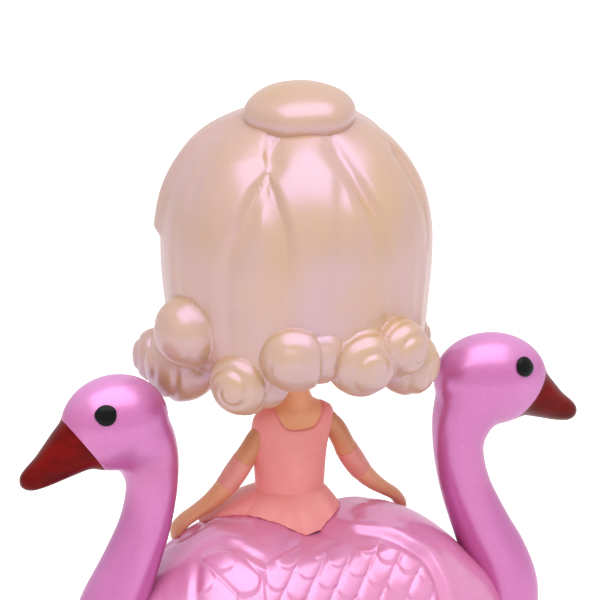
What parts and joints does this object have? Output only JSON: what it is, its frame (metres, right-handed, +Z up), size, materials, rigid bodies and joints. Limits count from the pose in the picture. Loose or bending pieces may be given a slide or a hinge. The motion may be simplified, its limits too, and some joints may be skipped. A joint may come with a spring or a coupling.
{
  "type": "musical jewellery box",
  "caption": "Round musical jewellery box with a drawer in its drum and a turntable that carries a ballerina seated between swans set back to back.",
  "frame": {"origin": "centre of the felt pad's underside, on the floor and on the turntable's axis", "axes": "+Z up along the turntable's axis; -Y is the side of the drawer that the ballerina faces; +X is her left"},
  "size_m": [0.136, 0.1478, 0.2004],
  "materials": {
    "felt": "pressed felt",
    "rose_trim": "pearl lacquer",
    "ivory_shell": "pearl lacquer",
    "drawer_face": "pearl lacquer",
    "drawer_case": "moulded",
    "flock": "flocked",
    "knob_pearl": "pearl",
    "pond": "pearl lacquer",
    "swan_pink": "pearl lacquer",
    "swan_feather": "pearl lacquer",
    "beak_red": "gloss enamel",
    "eye_black": "gloss enamel",
    "leotard": "satin",
    "skirt": "satin",
    "skin": "satin",
    "slipper": "satin",
    "hair_pearl": "pearl lacquer",
    "brass": "turned",
    "steel": "ground",
    "comb_iron": "as cast",
    "fan_plastic": "moulded",
    "key_brass": "polished"
  },
  "bodies": {
    "base": {"felt_pad": "felt", "plinth": "rose_trim", "plinth_screws": "steel", "drum": "ivory_shell", "drawer_runners": "drawer_case", "deck_bush": "brass", "movement_front_plate": "brass", "movement_rear_plate": "brass", "movement_pillars": "brass", "movement_screws": "steel", "comb": "steel", "comb_bed": "comb_iron", "comb_screws": "steel", "key_bush": "brass"},
    "turntable": {"turntable": "pond", "spindle": "steel", "spindle_screw": "steel", "crown_wheel": "brass", "swan_left_body": "swan_feather", "swan_left_neck": "swan_pink", "swan_left_beak": "beak_red", "swan_left_eyes": "eye_black", "swan_right_body": "swan_feather", "swan_right_neck": "swan_pink", "swan_right_beak": "beak_red", "swan_right_eyes": "eye_black", "tail_feathers": "swan_feather", "doll_torso": "leotard", "doll_legs": "skin", "doll_slippers": "slipper", "doll_skirt": "skirt", "doll_head": "skin", "doll_hair": "hair_pearl", "doll_bun": "hair_pearl"},
    "arm_left": {"doll_arm_left": "skin"},
    "arm_right": {"doll_arm_right": "skin"},
    "barrel": {"barrel_drum": "brass", "barrel_cover": "brass", "great_wheel": "brass", "driver_gear": "brass", "mainspring": "steel"},
    "winder": {"winding_arbor": "steel", "ratchet_wheel": "steel", "winding_key": "key_brass"},
    "cylinder": {"cylinder_arbor": "steel", "music_cylinder": "brass", "music_pins": "steel", "cylinder_pinion": "steel", "cylinder_wheel": "brass"},
    "fan": {"fan_arbor": "steel", "fan_pinion": "steel", "fan_blades": "fan_plastic", "brake_disc": "brass"},
    "drawer": {"drawer_front": "drawer_face", "drawer_box": "drawer_case", "drawer_tray": "flock", "drawer_knob": "knob_pearl"},
    "stop": {"stop_rod": "steel", "stop_knob": "knob_pearl"}
  },
  "joints": [
    {"name": "turntable_spin", "type": "hinge", "parent": "base", "child": "turntable", "pos_m": [0, 0, 0.049], "axis": [0, 0, 1], "continuous": true},
    {"name": "barrel_spin", "type": "hinge", "parent": "base", "child": "barrel", "pos_m": [0, 0.02, 0.025], "axis": [0, 1, 0], "continuous": true},
    {"name": "cylinder_spin", "type": "hinge", "parent": "base", "child": "cylinder", "pos_m": [0.0192, 0.02, 0.025], "axis": [0, 1, 0], "continuous": true},
    {"name": "fan_spin", "type": "hinge", "parent": "base", "child": "fan", "pos_m": [0.0257, 0.02, 0.03626], "axis": [0, 1, 0], "continuous": true},
    {"name": "key_wind", "type": "hinge", "parent": "base", "child": "winder", "pos_m": [0, 0.06, 0.025], "axis": [0, 1, 0], "continuous": true},
    {"name": "drawer_slide", "type": "slide", "parent": "base", "child": "drawer", "axis": [0, -1, 0], "range_m": [0, 0.024]},
    {"name": "stop_push", "type": "slide", "parent": "base", "child": "stop", "axis": [0, -1, 0], "range_m": [0, 0.0026]},
    {"name": "arm_left_swing", "type": "hinge", "parent": "turntable", "child": "arm_left", "pos_m": [0.0102, -0.0064, 0.1202], "axis": [-1, 0, 0], "range_deg": [0, 75]},
    {"name": "arm_right_swing", "type": "hinge", "parent": "turntable", "child": "arm_right", "pos_m": [-0.0102, -0.0064, 0.1202], "axis": [-1, 0, 0], "range_deg": [0, 75]}
  ],
  "couplings": [
    {"joint": "barrel_spin", "follows": "turntable_spin", "ratio": -1},
    {"joint": "cylinder_spin", "follows": "turntable_spin", "ratio": 3},
    {"joint": "fan_spin", "follows": "turntable_spin", "ratio": -10}
  ]
}
